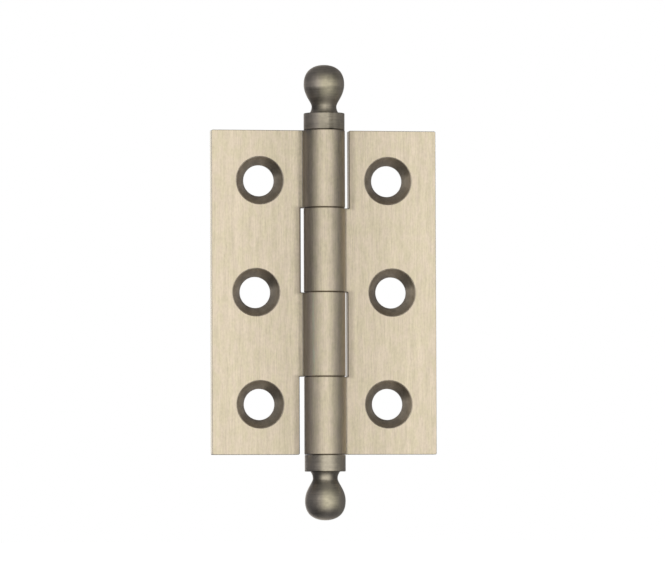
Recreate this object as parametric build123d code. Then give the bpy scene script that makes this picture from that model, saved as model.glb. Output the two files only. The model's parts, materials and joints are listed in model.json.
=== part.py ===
from build123d import *
import math
import os

# Finial butt hinge, solid drawn brass, 50 mm high and 35 mm wide when open flat.
# Sizes are in millimetres and degrees. The hinge is modelled open flat.
# Frame: origin halfway up the pin's axis, +Z up along the pin, +X towards the right leaf.
# The countersunk faces look towards -Y.

# Leaves
leaf_height = 50.0
leaf_reach = 17.5                # pin axis to the leaf's outer edge
leaf_thickness = 1.8
closed_gap = 0.5                 # between the countersunk faces when the hinge is shut
leaf_corner_radius = 0.25
edge_break = 0.08                # all round the leaf, its notches and the ends of its knuckles

# Knuckles
knuckle_radius = 3.2
end_knuckle_length = 12.0        # top and bottom knuckle; the two inner ones share the rest
knuckle_gap = 0.05               # along the pin, between neighbouring knuckles
inner_notch_clearance = 0.45     # round the inner knuckle that turns in the leaf's notch
end_notch_clearance = 0.7        # round the end knuckle
notch_corner_radius = 0.15
front_root_radius = 0.4          # where the plate's front runs into the knuckle
back_root_radius = 0.6

# Screw holes, two near the ends and one staggered outwards between them
screw_hole_radius = 2.4
countersink_radius = 3.75
countersink_angle = 90.0
end_screw_inset = 7.75           # leaf's end to the nearest screw
end_screw_reach = 10.0           # pin axis to the end screws
middle_screw_reach = 10.6

# Pin, with a reduced end for each finial
pin_radius = 1.5
pin_running_clearance = 0.03     # all round, in the knuckles
pin_end_radius = 1.0
pin_end_length = 3.6
pin_end_chamfer = 0.2
finial_end_float = 0.05          # between each finial and the knuckle next to it

# Finials: collar, cove and ball, turned in one piece
collar_radius = 3.16
collar_height = 2.55
collar_edge_break = 0.06
neck_radius = 1.91
neck_height = 3.6                # collar's foot to the narrowest place
cove_radius = 1.6
ball_radius = 3.13
ball_height = 7.05               # collar's foot to the ball's widest place
finial_height = 10.05
neck_handle = 0.7                # lengths of the curve handles along the outline
belly_handle = 1.75
shoulder_handle = 2.55
crown_handle = 1.2
finial_bore_spare = 0.3          # blind hole beyond the end of the pin
drill_point_angle = 118.0

# Places that several pieces share
front_y = closed_gap / 2
back_y = front_y + leaf_thickness
leaf_top = leaf_height / 2
inner_knuckle_end = leaf_top - end_knuckle_length
pin_shoulder = leaf_top + finial_end_float
cut_overshoot = 1.0


def circle_meets_face(face_y):
    """Distance from the pin's axis at which a face of the plate enters the knuckle."""
    return math.sqrt(knuckle_radius**2 - face_y**2)


def drawn_section():
    """Section of the drawn bar, seen along the pin: plate and solid knuckle."""
    plate = Pos(-leaf_reach / 2, front_y + leaf_thickness / 2) * Rectangle(leaf_reach, leaf_thickness)
    section = plate + Circle(knuckle_radius)
    for face_y, radius in ((front_y, front_root_radius), (back_y, back_root_radius)):
        root = section.vertices().sort_by_distance((-circle_meets_face(face_y), face_y))[0]
        section = fillet(root, radius)
    return section


def notch(reach, bottom, top):
    """Cutter for the notch in which the other leaf's knuckle turns."""
    length = reach + knuckle_radius + cut_overshoot
    depth = 2 * (knuckle_radius + cut_overshoot)
    middle = Pos(length / 2 - reach, 0, (bottom + top) / 2)
    cutter = middle * Box(length, depth, top - bottom)
    return fillet(cutter.edges().filter_by(Axis.Y).group_by(Axis.X)[0], notch_corner_radius)


def countersunk_hole(reach, height):
    """Cutter for one screw hole, with its countersink in the plate's front face."""
    slope = math.tan(math.radians(countersink_angle / 2))
    sink_depth = (countersink_radius - screw_hole_radius) / slope
    sink_overshoot = cut_overshoot * slope
    hole_length = leaf_thickness + 2 * cut_overshoot
    hole = Cylinder(screw_hole_radius, hole_length)
    sink = Cone(countersink_radius + sink_overshoot, screw_hole_radius, sink_depth + cut_overshoot)
    hole_middle = front_y + leaf_thickness / 2
    sink_middle = front_y + (sink_depth - cut_overshoot) / 2
    turn = Rot(-90, 0, 0)
    place = Pos(-reach, 0, height)
    return place * (Pos(0, hole_middle, 0) * turn * hole + Pos(0, sink_middle, 0) * turn * sink)


def leaf():
    """The left leaf, carrying the top knuckle and the inner knuckle below the middle."""
    start = Pos(0, 0, -leaf_top)
    bar = extrude(start * drawn_section(), amount=leaf_height)
    inner_reach = knuckle_radius + inner_notch_clearance
    end_reach = knuckle_radius + end_notch_clearance
    half_gap = knuckle_gap / 2
    bar -= notch(inner_reach, -half_gap, inner_knuckle_end + half_gap)
    bar -= notch(end_reach, -leaf_top - cut_overshoot, half_gap - inner_knuckle_end)

    ends = bar.edges().filter_by(Axis.Y)
    corners = ends.group_by(Axis.Z)[0] + ends.group_by(Axis.Z)[-1]
    bar = fillet(corners, leaf_corner_radius)

    rims = ShapeList()
    for end_face in bar.faces().filter_by(Axis.Z):
        rims += end_face.outer_wire().edges().filter_by(Axis.Y, reverse=True)
    bar = chamfer(rims, edge_break)

    bar -= Cylinder(pin_radius + pin_running_clearance, leaf_height + 2 * cut_overshoot)
    end_screw_height = leaf_top - end_screw_inset
    bar -= countersunk_hole(end_screw_reach, end_screw_height)
    bar -= countersunk_hole(middle_screw_reach, 0)
    bar -= countersunk_hole(end_screw_reach, -end_screw_height)
    return bar


def hinge_pin():
    """Pin with a shoulder and a reduced end at each finial."""
    pin = Cylinder(pin_radius, 2 * pin_shoulder)
    for side in (1, -1):
        pin += Pos(0, 0, side * (pin_shoulder + pin_end_length / 2)) * Cylinder(pin_end_radius, pin_end_length)
    tips = pin.edges().group_by(Axis.Z)
    return chamfer(tips[0] + tips[-1], pin_end_chamfer)


def finial():
    """Finial standing on z = 0, with the blind hole that takes the pin's end."""
    cove_rise = neck_height - collar_height
    cove_start = neck_radius + cove_radius - math.sqrt(cove_radius**2 - cove_rise**2)
    bore_depth = pin_end_length + finial_bore_spare
    bore_tip = bore_depth + pin_end_radius / math.tan(math.radians(drill_point_angle / 2))
    with BuildPart() as turned:
        with BuildSketch(Plane.XZ) as outline:
            with BuildLine():
                Polyline(
                    (0, bore_tip),
                    (pin_end_radius, bore_depth),
                    (pin_end_radius, 0),
                    (collar_radius, 0),
                    (collar_radius, collar_height),
                    (cove_start, collar_height),
                )
                RadiusArc((cove_start, collar_height), (neck_radius, neck_height), cove_radius)
                Bezier(
                    (neck_radius, neck_height),
                    (neck_radius, neck_height + neck_handle),
                    (ball_radius, ball_height - belly_handle),
                    (ball_radius, ball_height),
                )
                Bezier(
                    (ball_radius, ball_height),
                    (ball_radius, ball_height + shoulder_handle),
                    (crown_handle, finial_height),
                    (0, finial_height),
                )
                Line((0, finial_height), (0, bore_tip))
            make_face()
            for rim_height in (0, collar_height):
                rim = outline.vertices().sort_by_distance((collar_radius, rim_height))[0]
                chamfer(rim, collar_edge_break)
        revolve(axis=Axis.Z)
    return turned.part


left_leaf = leaf()
top_finial = Pos(0, 0, pin_shoulder) * finial()

parts = {
    "left_leaf": left_leaf,
    "right_leaf": Rot(0, 180, 0) * left_leaf,
    "hinge_pin": hinge_pin(),
    "top_finial": top_finial,
    "bottom_finial": Rot(0, 180, 0) * top_finial,
}

os.makedirs("parts", exist_ok=True)
for name, part in parts.items():
    export_step(part, f"parts/{name}.step")
    print(f"{name}: {part.volume:.2f} cubic mm")
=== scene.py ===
import json
import math

import bpy
from mathutils import Matrix, Vector

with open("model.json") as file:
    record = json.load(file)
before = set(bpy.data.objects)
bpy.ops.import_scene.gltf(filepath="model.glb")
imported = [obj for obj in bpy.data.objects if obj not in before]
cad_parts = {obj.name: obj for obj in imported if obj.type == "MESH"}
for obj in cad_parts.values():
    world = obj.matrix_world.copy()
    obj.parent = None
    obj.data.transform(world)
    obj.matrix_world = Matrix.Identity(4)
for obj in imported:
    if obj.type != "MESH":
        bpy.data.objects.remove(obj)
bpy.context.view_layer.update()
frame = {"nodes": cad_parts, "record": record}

mm = 0.001

# Camera, set by the photograph: a long lens a little to the left of the pin
sensor_width = 36.0                       # millimetres
lens = 270.84
nearest_seen = 0.05
farthest_seen = 20.0
camera_distance = 0.77
camera_azimuth = math.radians(-9.03)
camera_height = -33.0 * mm
camera_roll = math.radians(-0.199)
aim_right_of_pin = 1.212 * mm
aim_height = -0.194 * mm

# Light: a wide soft box in front, a dim cool room, and a narrow soft source behind
front_light = 0.99
front_azimuth = math.radians(-2.5)
front_half_width = math.radians(45.0)
front_half_height = math.radians(34.0)
front_side_softness = math.radians(33.0)
front_end_softness = math.radians(29.0)
front_colour = (1.0, 0.99, 0.97, 1.0)
back_light = 1.0
back_azimuth = math.radians(-2.0)
back_half_width = math.radians(15.0)
back_half_height = math.radians(24.0)
room_light = 0.11
room_colour = (0.97, 0.99, 1.10, 1.0)
white = (1.0, 1.0, 1.0, 1.0)
floor_grey = (0.9, 0.9, 0.9, 1.0)
floor_height = -60.0 * mm
floor_half_size = 3.0

# Where the screws go, from the record of the frame
screw_holes = []
for mount in frame["record"]["mounts"]:
    x, y, z = mount["pos_m"]
    if mount["kind"] == "bolt_pattern":
        half_spacing = mount["dims"]["spacing_y_mm"] * mm / 2
        screw_holes += [(x, z + half_spacing), (x, z - half_spacing)]
    elif mount["kind"] == "other":
        screw_holes.append((x, z))

# Places on the hinge, measured from the middle of the pin
screw_hole_radius = 2.4 * mm
countersink_radius = 3.75 * mm
outer_edge = 17.5 * mm
knuckle_radius = 3.2 * mm
joints = (0.0, 13.0 * mm, 25.0 * mm)      # where knuckles and collars meet, above and below
notches = (                               # reach, bottom and top on the left leaf
    (3.65 * mm, 0.0, 13.0 * mm),
    (3.9 * mm, -25.0 * mm, -13.0 * mm),
)

# Noise in the finishes: blob sizes along the three axes, detail, roughness and change of tone
leaf_noise = {
    "fine": ((0.17 * mm, 0.17 * mm, 2.5 * mm), 3.0, 0.6, 0.49),
    "streaks": ((0.6 * mm, 0.6 * mm, 12.0 * mm), 3.0, 0.6, 0.26),
    "grain": ((0.3 * mm, 0.3 * mm, 0.5 * mm), 2.0, 0.5, 0.26),
    "blots": ((1.1 * mm, 1.1 * mm, 2.2 * mm), 3.0, 0.6, 0.15),
    "clouds": ((7.0 * mm, 7.0 * mm, 9.0 * mm), 4.0, 0.6, 0.14),
}
burnt_noise = ((1.4 * mm, 1.4 * mm, 1.4 * mm), 3.0, 0.6)
ring_noise = {                            # out from the axis, round it in radians, and along it
    "fine": ((0.09 * mm, 2.0, 0.09 * mm), 3.0, 0.6, 0.20),
    "bands": ((0.6 * mm, 2.5, 0.6 * mm), 2.0, 0.5, 0.20),
    "rings": ((0.28 * mm, 1.25, 0.28 * mm), 2.0, 0.5, 0.40),
}
spot_noise = {
    "clouds": ((2.5 * mm, 2.5 * mm, 2.5 * mm), 3.0, 0.6, 0.30),
    "blots": ((0.5 * mm, 0.5 * mm, 0.5 * mm), 3.0, 0.6, 0.42),
}
wire_noise = {"lines": ((0.08 * mm, 0.08 * mm, 8.0 * mm), 3.0, 0.6, 0.2)}

# Colours of the finishes
yellow_brass = (0.785, 0.695, 0.505, 1.0)
pink_brass = (0.80, 0.69, 0.535, 1.0)
bare_brass = (0.95, 0.87, 0.74, 1.0)
# dark patina at the joints, and painted shade at the rims of the notches and beside them
joint_patina_and_notch_shade = (0.29, 0.24, 0.19, 1.0)
outer_hole_patina = (0.305, 0.24, 0.165, 1.0)
inner_hole_patina = (0.26, 0.24, 0.225, 1.0)
# painted shade on the knuckles' flanks
flank_painted_shade = (0.325, 0.313, 0.35, 1.0)
# Lit and shaded colours of the finials: the cooler one is painted where they stand in shade
finial_lit_colour = (0.617, 0.562, 0.412, 1.0)
finial_shaded_colour = (0.61, 0.542, 0.458, 1.0)

# A fade names what it measures and gives, in millimetres, the two places between which it goes from
# 0 to 1, or from the one value to the other that follow. A mask is the product of its fades.
on_knuckle = ("off_pin", 3.35, 3.25)
on_knuckle_front = (on_knuckle, ("y", 0.3, -0.6))
# painted shade on the knuckles' flanks, strongest at the front and on the left
flanks = (on_knuckle, ("aside", 2.0, 2.9), ("y", 0.3, -0.6, 0.3, 1.0), ("x", 1.0, -1.0, 0.3, 0.75))
in_hole = (("off_axis", 3.77, 3.57), ("y", 0.25, 0.45), ("y", 2.03, 1.93))
on_wall = (("y", 0.3, 0.45), ("y", 2.0, 1.85))
upper_left = (("x", 0.1, -0.1), ("z", -13.2, -12.8))
near_root = (("x", 0.1, -0.1), ("off_pin", 4.15, 3.85), ("off_pin", 3.25, 3.35))
top = ("z", 0.0, 25.0)
bottom = ("z", 0.0, -25.0)
top_collar = (top, ("z", 27.7, 27.5))
bottom_collar = (bottom, ("z", -27.7, -27.5))
bottom_neck = (("z", -27.6, -27.8), ("z", -29.8, -29.3))
near_left = (("x", -0.4, -1.6), ("x", -3.0, -1.8))
near_right = (("x", 0.1, 0.45), ("x", 1.15, 0.8))

# The leaf patches below are painted light and shade.
# Lighter and darker patches, as in the photograph: each has its change of tone, then its fades
leaf_patches = (
    # painted shade on the left leaf beside its knuckles, and in the creases at the roots of the top and
    # third knuckles
    (-0.14, *upper_left, ("off_pin", 4.8, 3.2), ("off_pin", 3.2, 3.3)),
    (-0.2, *near_root, ("z", 12.9, 13.1)),                            # beside the top knuckle
    (-0.2, *near_root, ("z", 0.1, -0.1), ("z", -13.2, -12.8)),        # beside the third knuckle
    # painted light on the knuckles' fronts: on the left side below the middle, and on the right of the
    # top knuckle
    (0.44, *on_knuckle_front, ("z", 0.03, -0.03), ("x", -1.5, -2.4), ("x", -3.0, -2.5)),
    (
        0.14, *on_knuckle_front, ("z", 0.03, -0.03), ("z", -13.03, -12.97),
        ("x", -1.0, -1.7), ("x", -2.8, -2.2),
    ),
    (0.22, *on_knuckle_front, ("z", 13.03, 12.97), ("x", 1.0, 1.6)),
)
# Painted light and shade on the finials: lighter sides and painted highlights on the balls, darker
# collars, necks, crowns and lower left sides, apart from the dark lines where knuckle and collar meet
# and at the collars' outer rims
finial_patches = (
    (0.35, ("x", -1.4, -2.8)),                                        # the sides of both finials
    (0.58, ("x", 1.0, 2.6)),
    (-0.3, ("height", 25.2, 25.06)),                                  # where knuckle and collar meet
    (-0.4, ("height", 27.44, 27.54), ("height", 27.76, 27.66)),       # the collars' outer rims
    (0.12, top, *near_left),
    (-0.12, *top_collar),
    (-0.15, *top_collar, ("z", 26.6, 25.6)),
    (-0.27, *top_collar, *near_right),
    (-0.1, ("z", 27.6, 27.8), ("z", 30.0, 29.6)),                     # the top neck
    (-0.5, ("z", 27.6, 28.4), ("z", 31.7, 31.1), ("x", 0.0, -1.5), ("x", -2.9, -2.2, 0.4, 1.0)),
    (-0.15, ("z", 30.6, 31.3), ("z", 31.8, 31.4)),                    # the top ball, upwards
    (0.08, ("z", 31.5, 31.9), ("z", 33.0, 32.4)),
    (-0.22, ("z", 32.2, 33.0), ("z", 34.3, 33.4)),
    (-0.2, bottom, *near_left),
    (0.25, bottom, ("x", 1.0, 2.6)),
    (-0.2, *bottom_collar, *near_left),
    (-0.25, *bottom_neck, ("x", -0.75, -1.1)),
    (-0.25, *bottom_neck, ("x", 0.35, 0.7)),
    (0.2, ("z", -31.2, -31.7), ("z", -33.2, -32.6), ("x", 0.5, 1.2)),  # the bottom ball, downwards
    (-0.2, ("z", -31.7, -32.5), ("x", 0.0, -0.9)),
    (0.5, ("z", -33.9, -34.7)),
)
# Where the finials' painted shaded colour goes: their sides, collars, necks and crowns
finial_shaded_zones = (                           # where the finials' colour is cooler, by up to the last number
    ("x", -0.4, -1.8, 0.0, 1.0),
    ("x", 1.0, 2.6, 0.0, 0.6),
    ("height", 30.8, 29.6, 0.0, 0.45),
    ("height", 32.8, 34.0, 0.0, 0.7),
)
# Painted light and shade in the countersinks, lighter towards the top and the left, darker towards the
# upper right
hole_patches = (                          # direction in a hole, fading in between two shares, change
    ("up", 0.6, 1.0, 0.38),
    ("right", -0.5, -1.0, 0.18),
    ("upper right", 0.8, 0.97, -0.45),
)
brightest_finial = 1.5

# Patina and painted shade on the leaves
full_share = 0.3                          # the part of a mark's reach in which it is full
joint_reach = 0.25 * mm
joint_strength = 0.5
# painted shade at the rims of the notches and in faint bands beside them
rim_reach = 0.25 * mm                     # the dark rims of the notches
rim_rise = 0.25 * mm
rim_strength = 0.95
rim_shift = 0.12 * mm                     # how much further they reach at the left leaf's inner notch
band_reach = 1.3 * mm                     # the faint bands beside the notches
band_rise = 0.5 * mm
band_strength = 0.4
hole_zone = (4.15 * mm, 3.95 * mm)        # fades in round each countersink
hole_strength = (0.72, 0.86)
# painted shade: the plate is darker near the knuckles and lighter towards its outer edge
knuckle_shade_tones = (0.91, 1.06)                  # tone of the plate, from the knuckles outwards
knuckle_shade_end = 16.0 * mm

# Gloss and relief
leaf_roughness = 0.40
leaf_side_roughness = 0.20                # on the outer sides
worn_roughness = 0.35                     # more on the worn edges
leaf_anisotropy = 0.5
along_the_tangent = 0.25                  # a quarter turn
finial_roughness = 0.41
top_finial_roughness = 0.08               # more on the top finial
wire_tone = 0.6
wire_roughness = 0.35
brass_relief = 0.004 * mm
wire_relief = 0.003 * mm


class Nodes:
    """Adds nodes to one node tree. A value is a number, a vector, a colour or a node's output."""

    def __init__(self, tree):
        self.tree = tree

    def link(self, value, socket):
        """Links an input to another node's output, or sets it to a value."""
        if isinstance(value, bpy.types.NodeSocket):
            self.tree.links.new(value, socket)
        else:
            socket.default_value = value

    def add(self, kind, inputs=None, **settings):
        made = self.tree.nodes.new(kind)
        for name, value in settings.items():
            setattr(made, name, value)
        for name, value in (inputs or {}).items():
            self.link(value, made.inputs[name])
        return made

    def math(self, operation, *values):
        """One step of arithmetic on numbers."""
        made = self.add("ShaderNodeMath", dict(enumerate(values)), operation=operation)
        return made.outputs[0]

    def chain(self, operation, values):
        total = values[0]
        for value in values[1:]:
            total = self.math(operation, total, value)
        return total

    def plus(self, *values):
        return self.chain("ADD", values)

    def times(self, *values):
        return self.chain("MULTIPLY", values)

    def most(self, *values):
        return self.chain("MAXIMUM", values)

    def least(self, *values):
        return self.chain("MINIMUM", values)

    def minus(self, first, second):
        return self.math("SUBTRACT", first, second)

    def size(self, value):
        return self.math("ABSOLUTE", value)

    def length(self, *sides):
        """Distance from its parts along the axes."""
        return self.math("SQRT", self.plus(*[self.times(side, side) for side in sides]))

    def split(self, vector):
        """The three parts of a vector."""
        return self.add("ShaderNodeSeparateXYZ", {"Vector": vector}).outputs

    def fade(self, value, start, end, low=0.0, high=1.0):
        """Runs smoothly from low to high while the value goes from start to end."""
        inputs = {"Value": value, "From Min": start, "From Max": end, "To Min": low, "To Max": high}
        return self.add("ShaderNodeMapRange", inputs, interpolation_type="SMOOTHSTEP").outputs[0]

    def fades(self, places, rows):
        return [self.fade(places[name], start * mm, end * mm, *ends) for name, start, end, *ends in rows]

    def mask(self, places, rows):
        return self.times(*self.fades(places, rows))

    def patches(self, places, rows):
        """The change of tone that all patches make together."""
        return self.plus(*[self.times(self.mask(places, fades), change) for change, *fades in rows])

    def mix(self, amount, first, second, blend="MIX"):
        """Goes from the first colour to the second as the amount goes from 0 to 1."""
        inputs = {0: amount, 6: first, 7: second}
        return self.add("ShaderNodeMix", inputs, data_type="RGBA", blend_type=blend).outputs[2]

    def noise(self, place, sizes, detail, roughness):
        """Noise from 0 to 1, with blobs of the given sizes."""
        inputs = {0: place, 1: [1 / size for size in sizes]}
        spread = self.add("ShaderNodeVectorMath", inputs, operation="MULTIPLY").outputs[0]
        inputs = {"Vector": spread, "Scale": 1.0, "Detail": detail, "Roughness": roughness}
        return self.add("ShaderNodeTexNoise", inputs).outputs["Fac"]

    def centred(self, noise, amount):
        """Noise turned into a change either way."""
        return self.times(self.minus(noise, 0.5), amount)

    def noises(self, place, rows):
        """The noises of a finish, and the change of tone that they make together."""
        made = {}
        changes = []
        for name, (sizes, detail, roughness, change) in rows.items():
            made[name] = self.noise(place, sizes, detail, roughness)
            changes.append(self.centred(made[name], change))
        return made, self.plus(*changes)


def new_metal(name):
    """An empty metal material, its nodes, its shader and the place on the object."""
    material = bpy.data.materials.new(name)
    material.use_nodes = True
    nodes = Nodes(material.node_tree)
    shader = material.node_tree.nodes["Principled BSDF"]
    shader.inputs["Metallic"].default_value = 1.0
    place = nodes.add("ShaderNodeTexCoord").outputs["Object"]
    return material, nodes, shader, place


def finish_metal(nodes, shader, colour, tone, roughness, relief, depth):
    """Gives a shader its colour, made lighter or darker by the tone, its roughness and its relief."""
    grey = nodes.add("ShaderNodeCombineColor", {"Red": tone, "Green": tone, "Blue": tone}).outputs[0]
    nodes.link(nodes.mix(1.0, colour, grey, "MULTIPLY"), shader.inputs["Base Color"])
    nodes.link(roughness, shader.inputs["Roughness"])
    bump = nodes.add("ShaderNodeBump", {"Height": relief, "Distance": depth, "Strength": 1.0})
    nodes.link(bump.outputs[0], shader.inputs["Normal"])


def brush_along_pin(nodes, shader):
    """Spreads reflections across brush lines that run along the pin, or across the ends' faces."""
    normal = nodes.add("ShaderNodeNewGeometry").outputs["Normal"]
    upward = nodes.split(normal)["Z"]
    lines = nodes.add("ShaderNodeCombineXYZ", {"X": nodes.times(upward, upward), "Z": 1.0}).outputs[0]
    nodes.link(lines, shader.inputs["Tangent"])
    shader.inputs["Anisotropic"].default_value = leaf_anisotropy
    shader.inputs["Anisotropic Rotation"].default_value = along_the_tangent


def round_holes(nodes, x, z):
    """Distance from the nearest screw hole's axis, and the shares of it to the right and up."""
    distances = []
    rightward = []
    upward = []
    for hole_x, hole_z in screw_holes:
        across = nodes.minus(x, hole_x)
        along = nodes.minus(z, hole_z)
        distance = nodes.length(across, along)
        share = nodes.math("DIVIDE", nodes.fade(distance, *hole_zone), distance)
        distances.append(distance)
        rightward.append(nodes.times(across, share))
        upward.append(nodes.times(along, share))
    return nodes.least(*distances), nodes.plus(*rightward), nodes.plus(*upward)


def light_in_holes(nodes, rightward, upward):
    """Painted light and shade on the countersinks' sides, as a change of tone."""
    diagonal = nodes.times(nodes.plus(rightward, upward), math.sqrt(0.5))
    shares = {"right": rightward, "up": upward, "upper right": diagonal}
    changes = []
    for name, start, end, change in hole_patches:
        changes.append(nodes.fade(shares[name], start, end, 0.0, change))
    return nodes.plus(*changes)


def on_edges(nodes):
    """1 on the broken edges, whose faces lie between two axes, and 0 on the flat faces."""
    normal = nodes.add("ShaderNodeTexCoord").outputs["Normal"]
    along = nodes.most(*[nodes.size(part) for part in nodes.split(normal)])
    return nodes.fade(along, 0.95, 0.85)


def at_joints(nodes, z):
    """1 where two knuckles meet, or a knuckle and a collar."""
    height = nodes.size(z)
    marks = []
    for joint in joints:
        distance = nodes.size(nodes.minus(height, joint))
        marks.append(nodes.fade(distance, joint_reach, full_share * joint_reach))
    return nodes.most(*marks)


def beside_notches(nodes, places, reach, rise):
    """1 at the rims of the notches, and 0 beyond the reach aside and the rise above and below."""
    own_z = nodes.times(nodes.math("SIGN", places["x"]), places["z"], -1.0)
    aside = nodes.minus(places["aside"], nodes.times(nodes.mask(places, upper_left), rim_shift))
    marks = []
    for notch_reach, notch_bottom, notch_top in notches:
        beside = nodes.fade(aside, notch_reach + reach, notch_reach + full_share * reach)
        above = nodes.fade(own_z, notch_bottom - rise, notch_bottom)
        below = nodes.fade(own_z, notch_top + rise, notch_top)
        marks.append(nodes.times(beside, above, below))
    return nodes.most(*marks)


def leaf_brass():
    """Pale antique brass, brushed along the pin, darkened where a cloth doesn't reach at the joints and
    in the countersinks, with painted shade beside the notches, on the knuckles' flanks and towards the
    knuckles, and patches of painted light and shade.
    """
    material, nodes, shader, place = new_metal("leaf_brass_brushed")
    x, y, z = nodes.split(place)
    off_axis, rightward, upward = round_holes(nodes, x, z)
    places = {"x": x, "y": y, "z": z, "off_axis": off_axis}
    places["aside"] = nodes.size(x)
    places["off_pin"] = nodes.length(x, y)

    noises, unevenness = nodes.noises(place, leaf_noise)
    # painted shade, darker towards the knuckles
    knuckle_shade = nodes.fade(places["aside"], knuckle_radius, knuckle_shade_end, *knuckle_shade_tones)
    in_holes = nodes.mask(places, in_hole)
    # painted light and shade in the countersinks
    hole_light = nodes.times(in_holes, light_in_holes(nodes, rightward, upward))
    tone = nodes.plus(unevenness, knuckle_shade, nodes.patches(places, leaf_patches), hole_light)

    on_knuckles = nodes.mask(places, [on_knuckle])
    on_plate = nodes.minus(1.0, on_knuckles)
    walls = nodes.mask(places, on_wall)
    on_faces = nodes.times(on_plate, nodes.minus(1.0, walls))
    notch_rims = nodes.times(on_plate, beside_notches(nodes, places, rim_reach, rim_rise))
    notch_bands = beside_notches(nodes, places, band_reach, band_rise)
    # dark patina at the joints, painted shade at the notches' rims and in bands beside them
    dark = nodes.most(
        nodes.times(on_knuckles, at_joints(nodes, z), joint_strength),
        nodes.times(on_faces, notch_rims, rim_strength),
        nodes.times(on_faces, notch_bands, band_strength),
    )
    burnt = nodes.noise(place, *burnt_noise)
    hole_dark = nodes.times(in_holes, nodes.fade(burnt, 0.3, 0.7, *hole_strength))
    worn = nodes.times(on_plate, on_edges(nodes), nodes.minus(1.0, nodes.most(dark, hole_dark)))
    bare = nodes.most(worn, nodes.times(walls, notch_rims))

    colour = nodes.mix(nodes.fade(noises["blots"], 0.35, 0.65), yellow_brass, pink_brass)
    colour = nodes.mix(dark, colour, joint_patina_and_notch_shade)
    hole_depth = nodes.fade(off_axis, countersink_radius, screw_hole_radius)
    hole_patina = nodes.mix(hole_depth, outer_hole_patina, inner_hole_patina)
    colour = nodes.mix(hole_dark, colour, hole_patina)
    # painted shade on the knuckles' flanks
    colour = nodes.mix(nodes.mask(places, flanks), colour, flank_painted_shade)
    colour = nodes.mix(bare, colour, bare_brass)

    side = (outer_edge - 0.03 * mm, outer_edge - 0.01 * mm)
    roughness = nodes.plus(
        nodes.centred(noises["fine"], 0.10),
        nodes.centred(noises["clouds"], 0.06),
        nodes.fade(places["aside"], *side, leaf_roughness, leaf_side_roughness),
        nodes.times(worn, worn_roughness),
    )
    relief = nodes.plus(nodes.centred(noises["fine"], 1.0), nodes.centred(noises["streaks"], 0.6))
    finish_metal(nodes, shader, colour, tone, roughness, relief, brass_relief)
    brush_along_pin(nodes, shader)
    return material


def finial_brass():
    """Darker antique brass with fine rings from turning, with painted light and shade in patches and a
    cooler colour painted where it stands in shade.
    """
    material, nodes, shader, place = new_metal("finial_brass_turned")
    x, y, z = nodes.split(place)
    turn = nodes.math("ARCTAN2", x, y)
    around = nodes.add("ShaderNodeCombineXYZ", {"X": nodes.length(x, y), "Y": turn, "Z": z}).outputs[0]
    places = {"x": x, "z": z, "height": nodes.size(z)}

    rings, ring_changes = nodes.noises(around, ring_noise)
    spots, spot_changes = nodes.noises(place, spot_noise)
    # painted light and shade in patches
    tone = nodes.plus(1.0, ring_changes, spot_changes, nodes.patches(places, finial_patches))
    tone = nodes.least(tone, brightest_finial)
    # the cooler colour painted in where the finials stand in shade
    shade_share = nodes.most(*nodes.fades(places, finial_shaded_zones))
    colour = nodes.mix(shade_share, finial_lit_colour, finial_shaded_colour)

    roughness = nodes.plus(
        nodes.centred(rings["fine"], 0.08),
        nodes.centred(spots["clouds"], 0.14),
        nodes.times(nodes.mask(places, [top]), top_finial_roughness),
        finial_roughness,
    )
    relief = nodes.plus(nodes.centred(rings["fine"], 1.0), nodes.centred(rings["bands"], 0.8))
    finish_metal(nodes, shader, colour, tone, roughness, relief, brass_relief)
    return material


def pin_steel():
    """Drawn steel wire: grey, with faint lines along the pin."""
    material, nodes, shader, place = new_metal("pin_steel_drawn")
    noises, unevenness = nodes.noises(place, wire_noise)
    tone = nodes.plus(unevenness, wire_tone)
    roughness = nodes.plus(nodes.centred(noises["lines"], 0.1), wire_roughness)
    finish_metal(nodes, shader, white, tone, roughness, noises["lines"], wire_relief)
    return material


def dress_nodes():
    """Gives each part of the frame its finish."""
    finishes = {"leaf_brass": leaf_brass(), "finial_brass": finial_brass(), "pin_steel": pin_steel()}
    for part in frame["record"]["subparts"]:
        for material_slot in frame["nodes"][part["node"]].material_slots:
            material_slot.material = finishes[part["material_slot"]]


def front_box(nodes, x, y, rise):
    """A bright rectangle with soft edges, round the -Y direction."""
    bearing = nodes.math("ARCTAN2", x, nodes.times(y, -1.0))
    edges = []
    for angle, reach, softness in (
        (nodes.minus(bearing, front_azimuth), front_half_width, front_side_softness),
        (rise, front_half_height, front_end_softness),
    ):
        edges.append(nodes.fade(nodes.size(angle), reach + softness, reach - softness))
    return nodes.times(*edges, front_light)


def back_glow(nodes, x, y, rise):
    """A source round the +Y direction, fading to all sides."""
    bearing = nodes.minus(nodes.math("ARCTAN2", x, y), back_azimuth)
    across = nodes.math("DIVIDE", bearing, back_half_width)
    up = nodes.math("DIVIDE", rise, back_half_height)
    spread = nodes.plus(nodes.times(across, across), nodes.times(up, up))
    return nodes.times(nodes.math("EXPONENT", nodes.times(spread, -0.5)), back_light)


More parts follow.
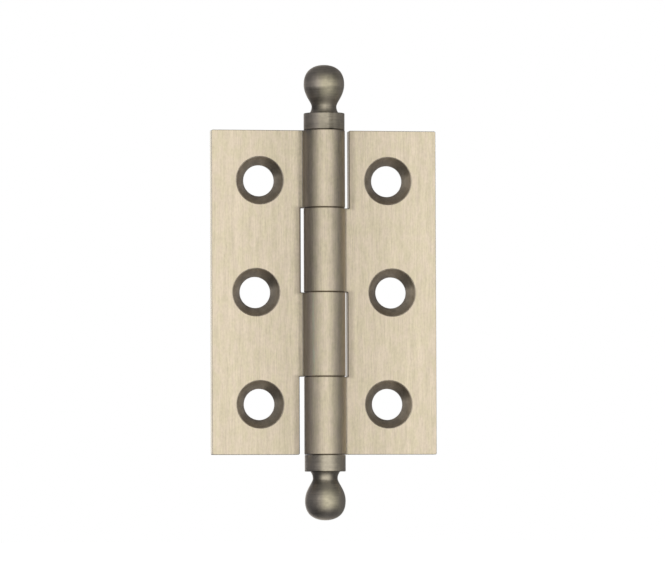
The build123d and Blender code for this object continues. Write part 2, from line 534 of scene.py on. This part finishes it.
def make_world():
    """White backdrop, with the studio's soft sources in the reflections."""
    world = bpy.data.worlds.new("studio")
    bpy.context.scene.world = world
    world.use_nodes = True
    world.node_tree.nodes.clear()
    nodes = Nodes(world.node_tree)
    direction = nodes.add("ShaderNodeTexCoord").outputs["Generated"]
    x, y, z = nodes.split(direction)
    rise = nodes.math("ARCSINE", z)
    sources = nodes.plus(front_box(nodes, x, y, rise), back_glow(nodes, x, y, rise))
    soft = nodes.add("ShaderNodeBackground", {"Color": front_colour, "Strength": sources}).outputs[0]
    room = nodes.add("ShaderNodeBackground", {"Color": room_colour, "Strength": room_light}).outputs[0]
    lit = nodes.add("ShaderNodeAddShader", {0: soft, 1: room}).outputs[0]
    backdrop = nodes.add("ShaderNodeBackground", {"Color": white, "Strength": 1.0}).outputs[0]
    seen = nodes.add("ShaderNodeLightPath").outputs["Is Camera Ray"]
    mixed = nodes.add("ShaderNodeMixShader", {0: seen, 1: lit, 2: backdrop}).outputs[0]
    nodes.add("ShaderNodeOutputWorld", {"Surface": mixed})


def make_floor():
    """A plain white floor below the hinge. It is left out of the reflections."""
    bpy.ops.mesh.primitive_plane_add(size=2 * floor_half_size, location=(0, 0, floor_height))
    floor = bpy.context.object
    floor.name = "floor"
    floor.visible_glossy = False
    material = bpy.data.materials.new("floor_white")
    material.use_nodes = True
    shader = material.node_tree.nodes["Principled BSDF"]
    shader.inputs["Base Color"].default_value = floor_grey
    shader.inputs["Roughness"].default_value = 1.0
    shader.inputs["Specular IOR Level"].default_value = 0.0
    shader.inputs["Emission Color"].default_value = white
    shader.inputs["Emission Strength"].default_value = 1.0
    floor.data.materials.append(material)


def make_camera():
    data = bpy.data.cameras.new("camera")
    data.sensor_fit = "HORIZONTAL"
    data.sensor_width = sensor_width
    data.lens = lens
    data.clip_start = nearest_seen
    data.clip_end = farthest_seen
    camera = bpy.data.objects.new("camera", data)
    bpy.context.collection.objects.link(camera)
    back = Vector((math.sin(camera_azimuth), -math.cos(camera_azimuth), 0.0))
    right = Vector((math.cos(camera_azimuth), math.sin(camera_azimuth), 0.0))
    place = back * camera_distance + Vector((0.0, 0.0, camera_height))
    aim = right * aim_right_of_pin + Vector((0.0, 0.0, aim_height))
    turn = (aim - place).to_track_quat("-Z", "Y").to_matrix().to_4x4()
    camera.matrix_world = Matrix.Translation(place) @ turn @ Matrix.Rotation(camera_roll, 4, "Z")
    bpy.context.scene.camera = camera


dress_nodes()
make_world()
make_floor()
make_camera()
bpy.context.scene.view_settings.view_transform = "Standard"
